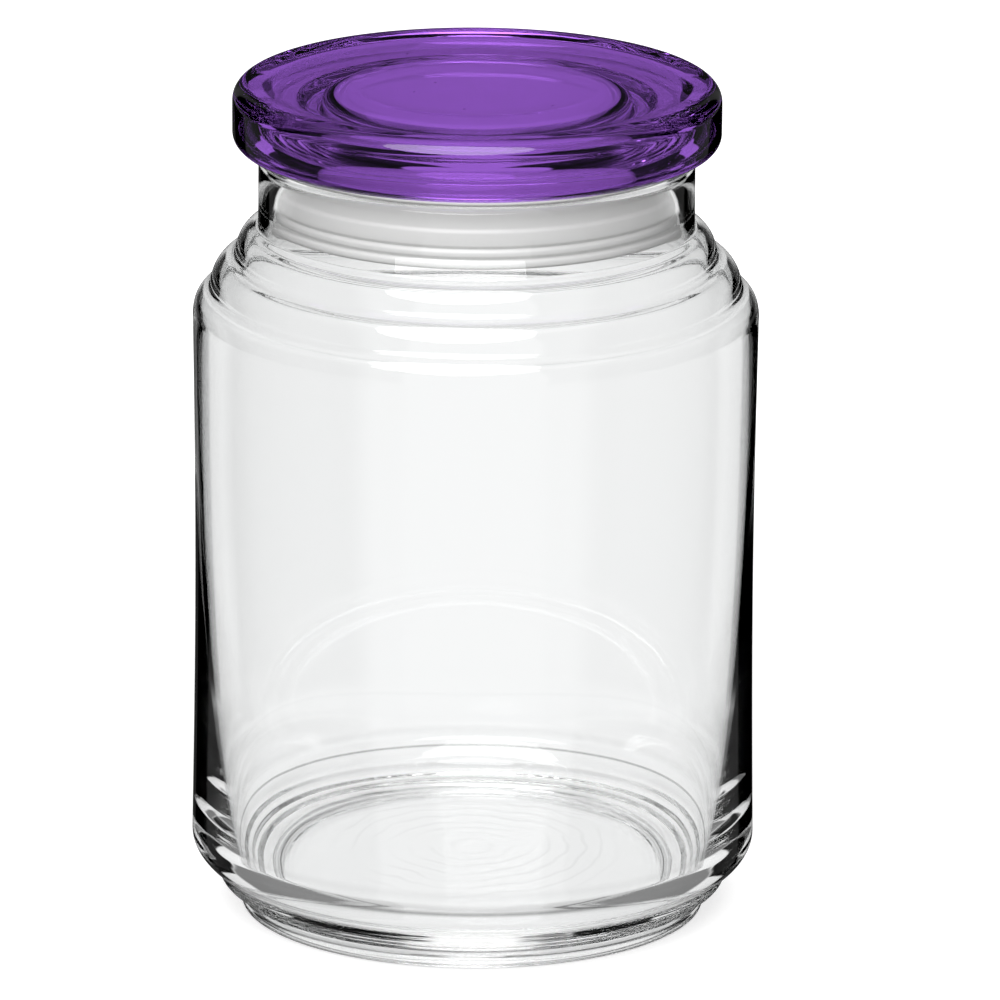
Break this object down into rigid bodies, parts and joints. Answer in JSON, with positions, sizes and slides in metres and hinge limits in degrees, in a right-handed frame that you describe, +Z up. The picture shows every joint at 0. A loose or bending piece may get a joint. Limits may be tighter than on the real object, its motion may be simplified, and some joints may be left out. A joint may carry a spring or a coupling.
{
  "type": "candy jar",
  "caption": "Round clear glass candy jar with a stepped shoulder and a flat purple glass lid that lifts off with its soft seal ring.",
  "frame": {"origin": "middle of the foot, on the surface that the jar stands on", "axes": "+Z up along the jar's axis; the jar is the same all round, so +X and +Y are free and the front of the picture is -Y"},
  "size_m": [0.1016, 0.1016, 0.1527],
  "materials": {
    "clear_glass": "polished clear pressed glass",
    "milky_plastic": "satin translucent soft plastic",
    "purple_glass": "polished purple pressed glass"
  },
  "bodies": {
    "jar": {"glass_jar": "clear_glass"},
    "seal": {"seal_ring": "milky_plastic"},
    "lid": {"glass_lid": "purple_glass"}
  },
  "joints": [
    {"name": "lid_lift", "type": "slide", "parent": "jar", "child": "seal", "axis": [0, 0, 1], "range_m": [0, 0.12]},
    {"name": "lid_turn", "type": "hinge", "parent": "seal", "child": "lid", "pos_m": [0, 0, 0.1413], "axis": [0, 0, 1], "continuous": true}
  ]
}
